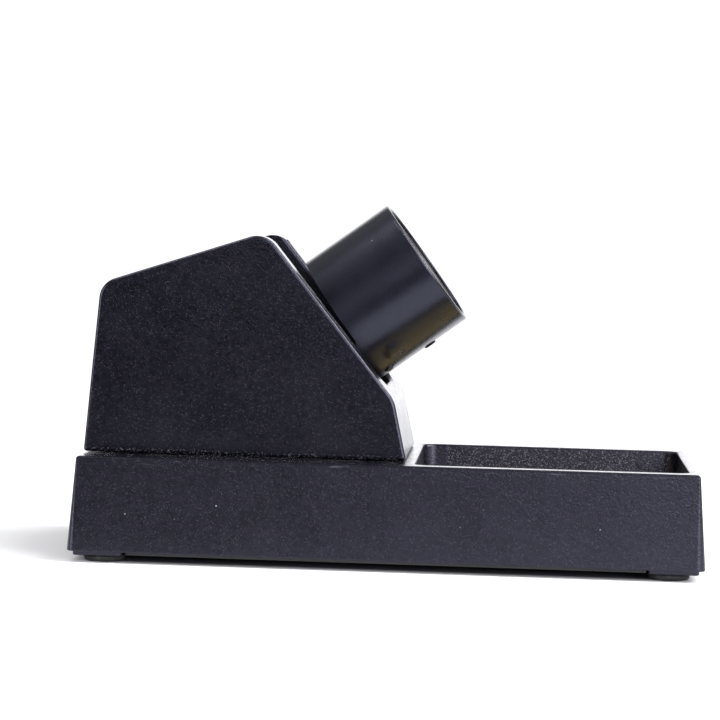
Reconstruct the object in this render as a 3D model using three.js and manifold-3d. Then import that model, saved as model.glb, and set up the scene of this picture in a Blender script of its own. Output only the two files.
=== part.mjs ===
// Soldering iron stand: a drafted cast base with a sponge tray, a hollow tower, and a short
// holder tube that leans out of the tower's sloping front and can be tilted.
// Millimetres. +X runs towards the tray, +Y across, +Z up. The origin is on the table under the middle.

import * as THREE from 'three';
import { mergeVertices } from 'three/addons/utils/BufferGeometryUtils.js';
import Module from 'manifold-3d';

const wasm = await Module();
wasm.setup();

// ---------------------------------------------------------------- driving dimensions

const GAP = 0.3;                       // clearance left between pieces that touch

const baseBottomZ = 3.0;               // lower edge of the base casting above the table
const baseHeight = 25.4;
const baseLength = 170;                // at the lower edge
const baseWidth = 80;
const baseDraft = 2 / baseHeight;      // each wall leans in by 2 mm over the height
const baseCornerR = 2.5;
const baseEdge = 0.8;                  // rounding of the base's upper and lower edges
const wall = 3;
const floorWall = 2.5;                 // under the tray floor
const deckZ = baseBottomZ + baseHeight;

const trayX0 = 6.8;                    // tray opening at the deck
const trayX1 = 81.1;
const trayHalfY = 34;
const trayDepth = 18;
const trayCornerR = 4;
const trayDraft = 0.07;
const ribHeight = 2.5;
const ribWidth = 2;
const ribEndGap = 0.8;                 // the ribs stop short of the tray walls' upper edge

const padX = 76.7;                     // centres of the four corner pads under the base
const padY = 31.7;
const padSide = 13.5;
const padDrop = 1.2;
const footX = 75.6;
const footY = 32.2;
const footR = 5.6;
const footStemR = 1.9;
const footStemLength = 3.6;
const footHoleR = 2.2;
const footHoleDepth = 3;

const plateScrewX = [-56, 56];
const plateScrewY = 26;
const plateHoleR = 1.6;
const plateHoleDepth = 4.2;
const plateMargin = 4;                 // from the base's lower edge to the plate's edge
const screwPostR = 3.5;
const towerScrewX = [-74, -6];
const towerScrewY = 17.5;
const towerScrewR = 2;
const towerBossR = 4.5;
const towerBossHeight = 12;
const towerBossWeb = 2.4;

const towerHalfFoot = 27.3;            // half width of the tower at the deck
const towerHalfTop = 26.3;             // and at the crest
const towerFootZ = deckZ + GAP;
const towerCorners = [                 // side outline, anticlockwise from the rear foot: x, z, radius
  [-82.9, towerFootZ, 1.6],
  [4.8, towerFootZ, 1.6],
  [1.1, 45.0, 9],
  [-34.8, 89.3, 6.5],
  [-79.2, 74.5, 6],
];
const towerTopZ = 89.3;
const towerEdge = 0.6;                 // rounding where the cheeks meet the outline

const sleeveAngle = THREE.MathUtils.degToRad(36.5);   // holder axis above the table
const slopeNormalAngle = THREE.MathUtils.degToRad(39);
const mouthCentre = new THREE.Vector3(8.07, 0, 82.13);
const sleeveR = 19.2;
const sleeveWall = 1.5;
const sleeveLength = 27.8;
const slopeGap = 0.9;                  // from the tube's rear end to the sloping face, on the holder axis
const pivotBehindMouth = 40;           // the tilt axis, measured back along the holder
const rearEndX = pivotBehindMouth - sleeveLength;
const tongueLength = 9;
const tongueTopZ = -7.9;               // the tongue is the part of the tube below this height
const slotHalfWidth = 18.8;
const slotTop = 34;                    // slot ends along the slope, from the holder axis; it opens the crest
const slotTopR = 2.5;
const slotBottom = -21.6;
const slotBottomR = 8;
const slotDepth = 14;
const slopeFaceX = rearEndX - slopeGap;

const carrierR = 17.3;
const carrierWall = 1.5;
const carrierX0 = -7;
const carrierX1 = 31;
const earTop = 6;                      // the ears reach this far above the axis
const earGapHalf = 9;                  // half of the space between the ears, below the axis
const earRootX = -3;

const pinR = 1.3;
const pinHeadR = 2.4;
const pivotScrewR = 2;
const pivotBossR = 5;
const ringBoreR = 15.2;

const trayFloorZ = deckZ - trayDepth;
const spongeSize = [66, 60, 5];

// ---------------------------------------------------------------- materials

const castBlack = new THREE.MeshStandardMaterial({ color: 0x24252c, roughness: 0.55, metalness: 0.0 });
const tubeBlack = new THREE.MeshStandardMaterial({ color: 0x202127, roughness: 0.35, metalness: 0.2 });
const zincSteel = new THREE.MeshStandardMaterial({ color: 0x9a9ca0, roughness: 0.4, metalness: 1.0 });
const blackSteel = new THREE.MeshStandardMaterial({ color: 0x1d1d20, roughness: 0.5, metalness: 0.6 });
const rubber = new THREE.MeshStandardMaterial({ color: 0x17171a, roughness: 0.9, metalness: 0.0 });
const phenolic = new THREE.MeshStandardMaterial({ color: 0x26241f, roughness: 0.6, metalness: 0.0 });
const cellulose = new THREE.MeshStandardMaterial({ color: 0xd9b24a, roughness: 1.0, metalness: 0.0 });

// ---------------------------------------------------------------- solids and booleans

function solidOf(geometry) {
  const bare = geometry.clone();
  bare.deleteAttribute('normal');
  bare.deleteAttribute('uv');
  const merged = mergeVertices(bare, 1e-4);
  return new wasm.Manifold(new wasm.Mesh({
    numProp: 3,
    vertProperties: new Float32Array(merged.attributes.position.array),
    triVerts: new Uint32Array(merged.index.array),
  }));
}

function geometryOf(solid) {
  const { vertProperties, triVerts } = solid.getMesh();
  const geometry = new THREE.BufferGeometry();
  geometry.setAttribute('position', new THREE.BufferAttribute(vertProperties, 3));
  geometry.setIndex(new THREE.BufferAttribute(triVerts, 1));
  geometry.computeVertexNormals();
  return geometry;
}

const joined = (solids) => solids.reduce((sum, solid) => sum.add(solid));
const without = (solid, cuts) => cuts.reduce((rest, cut) => rest.subtract(cut), solid);

// ---------------------------------------------------------------- outlines and basic shapes

function roundedOutline(corners) {
  // An anticlockwise convex outline of [x, y, radius] corners, each rounded by an arc.
  const shape = new THREE.Shape();
  corners.forEach(([x, y, radius], i) => {
    const corner = new THREE.Vector2(x, y);
    const before = new THREE.Vector2(...corners.at(i - 1)).sub(corner).normalize();
    const after = new THREE.Vector2(...corners[(i + 1) % corners.length]).sub(corner).normalize();
    const half = Math.acos(before.dot(after)) / 2;
    const centre = before.clone().add(after).setLength(radius / Math.sin(half)).add(corner);
    const start = before.clone().multiplyScalar(radius / Math.tan(half)).add(corner).sub(centre);
    const end = after.clone().multiplyScalar(radius / Math.tan(half)).add(corner).sub(centre);
    shape.absarc(centre.x, centre.y, radius, start.angle(), end.angle(), false);
  });
  return shape;
}

function rectangleOutline(length, width, radius) {
  const x = length / 2;
  const y = width / 2;
  return roundedOutline([[-x, -y, radius], [x, -y, radius], [x, y, radius], [-x, y, radius]]);
}

function inset(corners, distance, keepRadius = 1) {
  // Every side of a convex outline moves inwards by the same distance.
  return corners.map(([x, y, radius], i) => {
    const corner = new THREE.Vector2(x, y);
    const before = new THREE.Vector2(...corners.at(i - 1)).sub(corner).normalize();
    const after = new THREE.Vector2(...corners[(i + 1) % corners.length]).sub(corner).normalize();
    const half = Math.acos(before.dot(after)) / 2;
    const moved = before.clone().add(after).setLength(distance / Math.sin(half)).add(corner);
    return [moved.x, moved.y, Math.max(radius - distance, keepRadius)];
  });
}

function prism(shape, height, bevel = 0, curveSegments = 3) {
  // A prism from z = 0 to z = height, with its end edges rounded when bevel isn't 0.
  const geometry = new THREE.ExtrudeGeometry(shape, {
    depth: height - 2 * bevel,
    curveSegments,
    bevelEnabled: bevel > 0,
    bevelThickness: bevel,
    bevelSize: bevel,
    bevelOffset: -bevel,
    bevelSegments: 2,
  });
  return geometry.translate(0, 0, bevel);
}

function draft(geometry, slope) {
  // Walls lean inwards as z grows, about the z axis.
  const position = geometry.attributes.position;
  for (let i = 0; i < position.count; i += 1) {
    const shift = slope * position.getZ(i);
    position.setX(i, position.getX(i) - Math.sign(position.getX(i)) * shift);
    position.setY(i, position.getY(i) - Math.sign(position.getY(i)) * shift);
  }
  return geometry;
}

function block(x0, x1, y0, y1, z0, z1) {
  const geometry = new THREE.BoxGeometry(x1 - x0, y1 - y0, z1 - z0);
  return geometry.translate((x0 + x1) / 2, (y0 + y1) / 2, (z0 + z1) / 2);
}

function post(x, y, z0, z1, radius, sides = 20) {
  const geometry = new THREE.CylinderGeometry(radius, radius, z1 - z0, sides);
  return geometry.rotateX(Math.PI / 2).translate(x, y, (z0 + z1) / 2);
}

function turned(profile, sides) {
  // A turned piece about the z axis from [radius, z] points that start and end on the axis, upwards.
  return new THREE.LatheGeometry(profile.map(([r, z]) => new THREE.Vector2(r, z)), sides)
    .rotateX(Math.PI / 2);
}

function panScrew(headR, headH, shankR, shankL) {
  // Head below z = 0, shank above it, with a cross recess in the head.
  const body = turned([
    [0, -headH],
    [headR * 0.75, -headH],
    [headR, -headH * 0.45],
    [headR, 0],
    [shankR, 0],
    [shankR, shankL - 0.4],
    [shankR - 0.4, shankL],
    [0, shankL],
  ], 20);
  const arm = headR * 0.55;
  const depth = headH * 0.5;
  const cross = [
    block(-arm, arm, -0.35, 0.35, -headH - 1, -headH + depth),
    block(-0.35, 0.35, -arm, arm, -headH - 1, -headH + depth),
  ];
  return without(solidOf(body), cross.map(solidOf));
}

// ---------------------------------------------------------------- scene graph helpers

const stand = new THREE.Group();

const sleeveFrame = new THREE.Group();  // its +X runs along the holder towards the mouth, from the tilt axis
sleeveFrame.rotation.y = -sleeveAngle;
sleeveFrame.position.copy(mouthCentre)
  .addScaledVector(new THREE.Vector3(Math.cos(sleeveAngle), 0, Math.sin(sleeveAngle)), -pivotBehindMouth);
sleeveFrame.updateMatrixWorld();
stand.add(sleeveFrame);

function addPiece(name, solid, material, parent = stand) {
  const mesh = new THREE.Mesh(geometryOf(solid), material);
  mesh.name = name;
  parent.add(mesh);
  return mesh;
}

const corners = [
  ['rear_right', -1, -1],
  ['rear_left', -1, 1],
  ['front_right', 1, -1],
  ['front_left', 1, 1],
];

// ---------------------------------------------------------------- base casting

function baseCasting() {
  const outline = rectangleOutline(baseLength, baseWidth, baseCornerR);
  const shell = draft(prism(outline, baseHeight, baseEdge), baseDraft);
  shell.translate(0, 0, baseBottomZ);

  const trayLength = trayX1 - trayX0;
  const tray = draft(
    prism(rectangleOutline(trayLength, 2 * trayHalfY, trayCornerR), trayDepth + 2),
    trayDraft,
  );
  tray.rotateX(Math.PI).translate((trayX0 + trayX1) / 2, 0, deckZ);
  const trayMouth = prism(rectangleOutline(trayLength, 2 * trayHalfY, trayCornerR), 2);
  trayMouth.translate((trayX0 + trayX1) / 2, 0, deckZ - 0.001);
  const trayKeep = block(0, baseLength / 2, -baseWidth / 2, baseWidth / 2, 0, trayFloorZ);
  const trayCut = without(solidOf(tray).add(solidOf(trayMouth)), [solidOf(trayKeep)]);

  const hollowLength = baseLength - 2 * wall;
  const hollowWidth = baseWidth - 2 * wall;
  const hollowTop = baseHeight - wall;
  const hollow = draft(prism(rectangleOutline(hollowLength, hollowWidth, 1.5), hollowTop), baseDraft);
  hollow.translate(0, 0, baseBottomZ);
  const mouthBelow = block(
    -hollowLength / 2 + 2, hollowLength / 2 - 2,
    -hollowWidth / 2 + 2, hollowWidth / 2 - 2,
    baseBottomZ - 1, baseBottomZ + 1,
  );
  const underTray = block(
    trayX0 - wall, baseLength / 2,
    -baseWidth / 2, baseWidth / 2,
    trayFloorZ - floorWall, deckZ,
  );
  const hollowCut = without(solidOf(hollow).add(solidOf(mouthBelow)), [solidOf(underTray)]);

  const body = without(solidOf(shell), [trayCut, hollowCut]);

  const ribTop = trayFloorZ + ribHeight;
  const ribMidX = (trayX0 + trayX1) / 2;
  const ribs = [
    block(trayX0 + ribEndGap, trayX1 - ribEndGap, -ribWidth / 2, ribWidth / 2, trayFloorZ - 1, ribTop),
    block(ribMidX - ribWidth / 2, ribMidX + ribWidth / 2, ribEndGap - trayHalfY, trayHalfY - ribEndGap,
      trayFloorZ - 1, ribTop),
  ];

  const pads = corners.map(([, sx, sy]) => {
    const inner = [sx * (padX - padSide / 2), sy * (padY - padSide / 2)];
    const outer = [sx * (padX + padSide / 2), sy * (padY + padSide / 2)];
    const pad = block(
      Math.min(inner[0], outer[0]), Math.max(inner[0], outer[0]),
      Math.min(inner[1], outer[1]), Math.max(inner[1], outer[1]),
      baseBottomZ - padDrop, baseBottomZ + 4,
    );
    return solidOf(pad);
  });

  const postTop = (x) => (x < 0 ? deckZ - wall + 1 : trayFloorZ - 1.5);
  const posts = corners.map(([, sx, sy]) => {
    const x = sx < 0 ? plateScrewX[0] : plateScrewX[1];
    return solidOf(post(x, sy * plateScrewY, baseBottomZ, postTop(x), screwPostR));
  });

  const holes = corners.flatMap(([, sx, sy]) => {
    const plateX = sx < 0 ? plateScrewX[0] : plateScrewX[1];
    const towerX = sx < 0 ? towerScrewX[0] : towerScrewX[1];
    return [
      solidOf(post(sx * footX, sy * footY, 0, baseBottomZ + footHoleDepth, footHoleR)),
      solidOf(post(plateX, sy * plateScrewY, 0, baseBottomZ + plateHoleDepth, plateHoleR)),
      solidOf(post(towerX, sy * towerScrewY, deckZ - wall - 1, deckZ + 1, towerScrewR + GAP)),
    ];
  });

  return without(joined([body, ...ribs.map(solidOf), ...pads, ...posts]), holes);
}

addPiece('base_casting', baseCasting(), castBlack);

// ---------------------------------------------------------------- underside

function bottomPlate() {
  const halfX = baseLength / 2 - plateMargin;
  const halfY = baseWidth / 2 - plateMargin;
  const notchX = halfX + 1;
  const notchInX = padX - padSide / 2 - 0.5;
  const notchInY = padY - padSide / 2 - 0.5;
  const sheet = prism(rectangleOutline(2 * halfX, 2 * halfY, 2), padDrop - 0.2);
  sheet.translate(0, 0, baseBottomZ - padDrop);
  const notches = corners.map(([, sx, sy]) => solidOf(block(
    Math.min(sx * notchInX, sx * notchX), Math.max(sx * notchInX, sx * notchX),
    Math.min(sy * notchInY, sy * notchX), Math.max(sy * notchInY, sy * notchX),
    0, baseBottomZ + 1,
  )));
  const holes = plateScrewX.flatMap((x) => [-1, 1].map(
    (side) => solidOf(post(x, side * plateScrewY, 0, baseBottomZ + 1, plateHoleR)),
  ));
  return without(solidOf(sheet), [...notches, ...holes]);
}

addPiece('bottom_plate', bottomPlate(), blackSteel);

const plateScrew = panScrew(2.8, 1.0, 1.3, 4.6);
const towerScrew = panScrew(3.4, 2.2, towerScrewR - GAP, 11);
const footTop = baseBottomZ - padDrop - 0.2;

function rubberFoot() {
  return solidOf(turned([
    [0, 0],
    [footR - 0.8, 0],
    [footR, 0.7],
    [footR, footTop],
    [footStemR, footTop],
    [footStemR, footTop + footStemLength],
    [0, footTop + footStemLength],
  ], 28));
}

corners.forEach(([place, sx, sy]) => {
  const end = sx < 0 ? 0 : 1;
  const foot = addPiece(`rubber_foot_${place}`, rubberFoot(), rubber);
  foot.position.set(sx * footX, sy * footY, 0);
  const below = addPiece(`plate_screw_${place}`, plateScrew, zincSteel);
  below.position.set(plateScrewX[end], sy * plateScrewY, baseBottomZ - padDrop - 0.1);
  const held = addPiece(`tower_screw_${place}`, towerScrew, zincSteel);
  held.position.set(towerScrewX[end], sy * towerScrewY, deckZ - wall - 0.2);
});

// ---------------------------------------------------------------- tower housing

function sideways(outline, halfWidth, bevel) {
  // Extrudes a side outline (x, z) across the stand, centred on y = 0.
  return prism(outline, 2 * halfWidth, bevel).rotateX(Math.PI / 2).translate(0, halfWidth, 0);
}

function leanCheeks(geometry) {
  // The two cheeks close in from the foot to the crest.
  const lean = (towerHalfFoot - towerHalfTop) / (towerTopZ - towerFootZ) / towerHalfFoot;
  const position = geometry.attributes.position;
  for (let i = 0; i < position.count; i += 1) {
    const rise = position.getZ(i) - towerFootZ;
    position.setY(i, position.getY(i) * (1 - lean * rise));
  }
  return geometry;
}

function inSleeveFrame(geometry) {
  return geometry.applyMatrix4(sleeveFrame.matrixWorld);
}

function slotCutter() {
  // A wide slot, square to the sloping face, that opens over the crest.
  const y = slotHalfWidth;
  const outline = roundedOutline([
    [slotBottom, -y, slotBottomR],
    [slotTop, -y, slotTopR],
    [slotTop, y, slotTopR],
    [slotBottom, y, slotBottomR],
  ]);
  const cutter = prism(outline, slotDepth + 5, 0, 8);   // x up the slope, y across, z out of the face
  cutter.translate(0, 0, -slotDepth);
  cutter.rotateY(-Math.PI / 2).rotateZ(Math.PI);   // z out of the face becomes +X, x up the slope becomes +Z
  cutter.rotateY(-(slopeNormalAngle - sleeveAngle));
  cutter.translate(slopeFaceX, 0, 0);
  return inSleeveFrame(cutter);
}

const pivotBossFace = carrierR + 0.7;
const pivotHoleEnd = towerHalfTop - wall + 0.2;

function towerHousing() {
  const outside = leanCheeks(sideways(roundedOutline(towerCorners), towerHalfFoot, towerEdge));
  const innerCorners = inset(towerCorners, wall, 1.5);
  innerCorners[0][1] -= 2 * wall;
  innerCorners[1][1] -= 2 * wall;
  const inside = leanCheeks(sideways(roundedOutline(innerCorners), towerHalfFoot - wall, 0));
  const shell = solidOf(outside).subtract(solidOf(inside)).subtract(solidOf(slotCutter()));

  const screwBosses = towerScrewX.flatMap((x) => [-1, 1].map(
    (side) => solidOf(post(x, side * towerScrewY, towerFootZ, towerFootZ + towerBossHeight, towerBossR)),
  ));
  const bossWebs = towerScrewX.flatMap((x) => [-1, 1].map((side) => {
    const y = [side * towerScrewY, side * (towerHalfFoot - 1.5)];
    return solidOf(block(
      x - towerBossWeb / 2, x + towerBossWeb / 2,
      Math.min(...y), Math.max(...y),
      towerFootZ, towerFootZ + towerBossHeight - 1,
    ));
  }));
  const screwHoles = towerScrewX.flatMap((x) => [-1, 1].map(
    (side) => solidOf(post(x, side * towerScrewY, deckZ - 1, towerFootZ + towerBossHeight - 2, towerScrewR)),
  ));
  const pivotBosses = [-1, 1].map((side) => {
    const length = towerHalfTop - 1 - pivotBossFace;
    const boss = new THREE.CylinderGeometry(pivotBossR, pivotBossR, length, 24);
    return solidOf(inSleeveFrame(boss.translate(0, side * (pivotBossFace + length / 2), 0)));
  });
  const pivotHoles = [-1, 1].map((side) => {
    const hole = new THREE.CylinderGeometry(pivotScrewR, pivotScrewR, 10, 20);
    return solidOf(inSleeveFrame(hole.translate(0, side * (pivotHoleEnd - 5), 0)));
  });
  const housing = joined([shell, ...screwBosses, ...bossWebs, ...pivotBosses]);
  return without(housing, [...screwHoles, ...pivotHoles]);
}

addPiece('tower_housing', towerHousing(), castBlack);

// ---------------------------------------------------------------- holder tube and what it carries

function pipe(outerR, innerR, x0, x1, sides) {
  // A straight pipe along +X with square ends.
  const profile = [[innerR, x0], [outerR, x0], [outerR, x1], [innerR, x1], [innerR, x0]];
  return new THREE.LatheGeometry(profile.map(([r, x]) => new THREE.Vector2(r, x)), sides)
    .rotateZ(-Math.PI / 2);
}

function radialCylinder(x, degrees, r0, r1, radius, sides = 16) {
  // A pin across the tube wall, at an angle from straight down, between two distances from the axis.
  return new THREE.CylinderGeometry(radius, radius, r1 - r0, sides)
    .rotateX(Math.PI / 2)
    .translate(0, 0, -(r0 + r1) / 2)
    .rotateX(THREE.MathUtils.degToRad(degrees))
    .translate(x, 0, 0);
}

const rivetX = pivotBehindMouth - 12.6;
const carrierScrewX = rearEndX + 2.5;
const carrierScrewDegrees = 19;
const pinHoles = [
  [rivetX, 0],
  [carrierScrewX, -carrierScrewDegrees],
  [carrierScrewX, carrierScrewDegrees],
].map(([x, degrees]) => solidOf(radialCylinder(x, degrees, 10, 24, pinR + GAP)));

function holderTube() {
  const rim = 0.7;
  const innerR = sleeveR - sleeveWall;
  const x0 = rearEndX - tongueLength;
  const profile = [
    [innerR, x0],
    [sleeveR, x0],
    [sleeveR, pivotBehindMouth - rim],
    [sleeveR - rim * 0.3, pivotBehindMouth - rim * 0.3],
    [sleeveR - rim, pivotBehindMouth],
    [innerR, pivotBehindMouth],
    [innerR, x0],
  ];
  const tube = new THREE.LatheGeometry(profile.map(([r, x]) => new THREE.Vector2(r, x)), 64)
    .rotateZ(-Math.PI / 2);
  const overTongue = block(x0 - 1, rearEndX, -sleeveR - 1, sleeveR + 1, tongueTopZ, sleeveR + 1);
  return without(solidOf(tube), [solidOf(overTongue), ...pinHoles]);
}

function holderCarrier() {
  // A half pipe inside the tube's lower half that reaches back into the tower as two ears.
  const trough = solidOf(pipe(carrierR, carrierR - carrierWall, carrierX0, carrierX1, 56));
  const upper = block(carrierX0 - 1, carrierX1 + 1, -carrierR - 1, carrierR + 1, earTop, carrierR + 1);
  const aboveTube = block(earTop + 1, carrierX1 + 1, -carrierR - 1, carrierR + 1, tongueTopZ, carrierR + 1);
  const betweenEars = block(carrierX0 - 1, earRootX, -earGapHalf, earGapHalf, -carrierR - 1, 0);
  const ears = [-1, 1].map((side) => {
    const hole = new THREE.CylinderGeometry(pivotScrewR + GAP, pivotScrewR + GAP, 8, 20);
    return solidOf(hole.translate(0, side * carrierR, 0));
  });
  return without(trough, [solidOf(upper), solidOf(aboveTube), solidOf(betweenEars), ...ears, ...pinHoles]);
}

function mouthRing() {
  const outerR = sleeveR - sleeveWall - GAP;
  const x0 = carrierX1 + 0.6;
  const x1 = pivotBehindMouth - 0.8;
  const profile = [
    [ringBoreR, x0 + 1],
    [ringBoreR + 0.8, x0],
    [outerR, x0],
    [outerR, x1],
    [ringBoreR + 1.4, x1],
    [ringBoreR, x1 - 2],
    [ringBoreR, x0 + 1],
  ];
  return new THREE.LatheGeometry(profile.map(([r, x]) => new THREE.Vector2(r, x)), 56)
    .rotateZ(-Math.PI / 2);
}

function radialPin(headR, headH, tailLength, tailR) {
  // A headed pin pointing down: the head sits inside the carrier, the tail stands proud of the tube.
  const seat = carrierR - carrierWall - GAP;
  const tip = sleeveR + tailLength;
  const profile = [
    [0, -tip],
    [tailR * 0.7, -tip],
    [tailR, -tip + 0.3],
    [tailR, -sleeveR - 0.2],
    [pinR, -sleeveR - 0.2],
    [pinR, -seat],
    [headR, -seat],
    [headR * 0.85, -seat + headH],
    [0, -seat + headH],
  ];
  return turned(profile, 20);
}

addPiece('holder_tube', holderTube(), tubeBlack, sleeveFrame);
addPiece('holder_carrier', holderCarrier(), blackSteel, sleeveFrame);
addPiece('mouth_ring', solidOf(mouthRing()), phenolic, sleeveFrame);
addPiece('carrier_rivet', solidOf(radialPin(pinHeadR, 1.2, 0.9, 1.9)), zincSteel, sleeveFrame)
  .position.x = rivetX;

[['right', -1], ['left', 1]].forEach(([place, side]) => {
  const screw = addPiece(
    `carrier_screw_${place}`,
    solidOf(radialPin(pinHeadR, 1.5, 1.3, pinR)),
    zincSteel,
    sleeveFrame,
  );
  screw.position.x = carrierScrewX;
  screw.rotation.x = side * THREE.MathUtils.degToRad(carrierScrewDegrees);

  const headFace = carrierR - carrierWall - 1.2;
  const adjuster = addPiece(
    `adjusting_screw_${place}`,
    panScrew(3.6, 2.2, pivotScrewR - GAP, 7),
    zincSteel,
    sleeveFrame,
  );
  adjuster.position.y = side * headFace;
  adjuster.rotation.x = -side * Math.PI / 2;

  const washer = pipe(3.5, pivotScrewR + 0.1, 0, 0.6, 24).rotateZ(Math.PI / 2);
  const spacer = addPiece(`adjusting_washer_${place}`, solidOf(washer), zincSteel, sleeveFrame);
  spacer.position.y = side * (headFace + 0.15) + (side < 0 ? -0.6 : 0);
});

// ---------------------------------------------------------------- sponge

function sponge() {
  const [length, width, height] = spongeSize;
  return prism(rectangleOutline(length, width, 3), height, 0.6);
}

const spongeMesh = addPiece('cleaning_sponge', solidOf(sponge()), cellulose);
spongeMesh.position.set((trayX0 + trayX1) / 2, 0, trayFloorZ + ribHeight + GAP);

export default stand;
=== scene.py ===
import math
import random

import bmesh
import bpy
from mathutils import Matrix, Vector, noise


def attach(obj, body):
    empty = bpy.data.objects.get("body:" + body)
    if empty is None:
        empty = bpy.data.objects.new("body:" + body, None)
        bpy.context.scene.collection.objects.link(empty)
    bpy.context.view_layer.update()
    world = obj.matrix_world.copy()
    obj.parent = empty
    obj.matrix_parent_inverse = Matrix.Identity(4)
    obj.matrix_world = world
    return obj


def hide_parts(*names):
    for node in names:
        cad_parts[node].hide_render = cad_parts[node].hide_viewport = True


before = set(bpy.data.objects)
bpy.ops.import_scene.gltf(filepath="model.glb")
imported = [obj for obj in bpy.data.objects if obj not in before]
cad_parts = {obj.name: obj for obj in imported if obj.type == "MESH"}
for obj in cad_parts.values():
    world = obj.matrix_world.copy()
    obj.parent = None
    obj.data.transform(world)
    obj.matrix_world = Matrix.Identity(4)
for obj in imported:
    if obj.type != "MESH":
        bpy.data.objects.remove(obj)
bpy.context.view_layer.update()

# Lengths are in millimetres until a piece is finished; MM turns them into metres.
MM = 0.001

# ------------------------------------------------------------------ driving dimensions

BASE_BOTTOM, DECK = 3.0, 28.4
BASE_HALF_X, BASE_HALF_Y = 85.0, 40.0          # at the lower edge
BASE_DRAFT = 2 / (DECK - BASE_BOTTOM)
BASE_CORNER = 2.5
WALL = 3.0

TRAY_X0, TRAY_X1, TRAY_HALF_Y = 6.8, 81.1, 34.0
TRAY_FLOOR = 10.4
TRAY_CORNER = 4.0
TRAY_DRAFT = 0.07
TRAY_MID_X = (TRAY_X0 + TRAY_X1) / 2
RIB_HALF, RIB_HEIGHT = 1.0, 2.5                # the cross of ribs on the tray's floor

PAD_X, PAD_Y, PAD_SIDE, PAD_DROP = 76.7, 31.7, 13.5, 1.2
FOOT_X, FOOT_Y, FOOT_R = 75.6, 32.2, 5.6
PLATE_SCREW_X, PLATE_SCREW_Y = 56.0, 26.0
TOWER_SCREW_X, TOWER_SCREW_Y = (-74.0, -6.0), 17.5

TOWER_FOOT = 28.7
TOWER_TOP = 89.3
TOWER_HALF_FOOT, TOWER_HALF_TOP = 27.3, 26.3
TOWER_EDGE = 0.9
TOWER_OUTLINE = [                              # side outline: x, z, corner radius
    (-82.9, TOWER_FOOT, 0.8),
    (4.8, TOWER_FOOT, 0.8),
    (1.1, 45.0, 9.0),
    (-34.8, TOWER_TOP, 6.5),
    (-79.2, 74.5, 6.0),
]

TILT = math.radians(36.5)
PIVOT = Vector((-24.0843, 0, 58.3371))         # the tilt axis runs across through it
MOUTH = 40.0                                   # distances along the holder, from the tilt axis
TUBE_REAR = 12.2
TONGUE_REAR = 3.2
TONGUE_TOP = -7.9
TUBE_R, TUBE_WALL = 19.2, 1.5
CARRIER_R, CARRIER_WALL = 17.3, 1.5
CARRIER_X0, CARRIER_X1 = -7.0, 31.0
RIVET_X = 27.4
CARRIER_SCREW_X = 14.7
CARRIER_SCREW_TURN = math.radians(19)
SLOPE_FACE = 11.3                              # where the tower's slope crosses the holder's axis
SLOT_HALF, SLOT_TOP, SLOT_BOTTOM = 18.8, 34.0, -21.6
SLOT_DEPTH = 14.0
SLOT_FOOT_R, SLOT_CREST_R = 8.0, 2.5

ALONG = Vector((math.cos(TILT), 0, math.sin(TILT)))
ACROSS = Vector((0, 1, 0))
ABOVE = Vector((-math.sin(TILT), 0, math.cos(TILT)))

ENDS = (("rear", -1), ("front", 1))
SIDES = (("right", -1), ("left", 1))


def place(origin, x_axis, y_axis, z_axis):
    turn = Matrix((x_axis, y_axis, z_axis)).transposed().to_4x4()
    return Matrix.Translation(origin) @ turn


HOLDER = place(PIVOT, ALONG, ACROSS, ABOVE)

# ------------------------------------------------------------------ mesh tools


def each_corner(corners):
    """Each (x, y, radius) corner's place and radius, the directions to its neighbours, and half the angle."""
    for i, (x, y, radius) in enumerate(corners):
        corner = Vector((x, y))
        before = (Vector(corners[i - 1][:2]) - corner).normalized()
        after = (Vector(corners[(i + 1) % len(corners)][:2]) - corner).normalized()
        yield corner, radius, before, after, before.angle(after) / 2


def rounded_outline(corners, steps=8):
    """The points of an anticlockwise convex outline, each of its corners an arc of that many steps."""
    points = []
    for corner, radius, before, after, half in each_corner(corners):
        centre = corner + (before + after).normalized() * (radius / math.sin(half))
        start = corner + before * (radius / math.tan(half)) - centre
        end = corner + after * (radius / math.tan(half)) - centre
        first = math.atan2(start.y, start.x)
        turn = (math.atan2(end.y, end.x) - first) % (2 * math.pi)
        for step in range(steps + 1):
            angle = first + turn * step / steps
            points.append((centre.x + radius * math.cos(angle), centre.y + radius * math.sin(angle)))
    return points


LEAST_RADIUS = 0.1


def inset(corners, distance):
    """Every side of a convex outline moves inwards by the distance, and its radii shrink with it."""
    inner = []
    for corner, radius, before, after, half in each_corner(corners):
        point = corner + (before + after).normalized() * (distance / math.sin(half))
        inner.append((point.x, point.y, max(radius - distance, LEAST_RADIUS)))
    return inner


def rectangle(half_x, half_y, radius, centre=(0.0, 0.0)):
    cx, cy = centre
    return [
        (cx - half_x, cy - half_y, radius),
        (cx + half_x, cy - half_y, radius),
        (cx + half_x, cy + half_y, radius),
        (cx - half_x, cy + half_y, radius),
    ]


def quarter(steps):
    """(1 - cos, sin) pairs of a quarter turn, for rounding an edge."""
    return [
        (1 - math.cos(t), math.sin(t))
        for t in (math.pi / 2 * k / steps for k in range(steps + 1))
    ]


def mesh_from(vertices, faces):
    mesh = bpy.data.meshes.new("mesh")
    mesh.from_pydata([tuple(v) for v in vertices], [], faces)
    bm = bmesh.new()
    bm.from_mesh(mesh)
    bmesh.ops.remove_doubles(bm, verts=bm.verts, dist=1e-5)
    bmesh.ops.recalc_face_normals(bm, faces=bm.faces)
    bm.to_mesh(mesh)
    bm.free()
    return mesh


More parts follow.
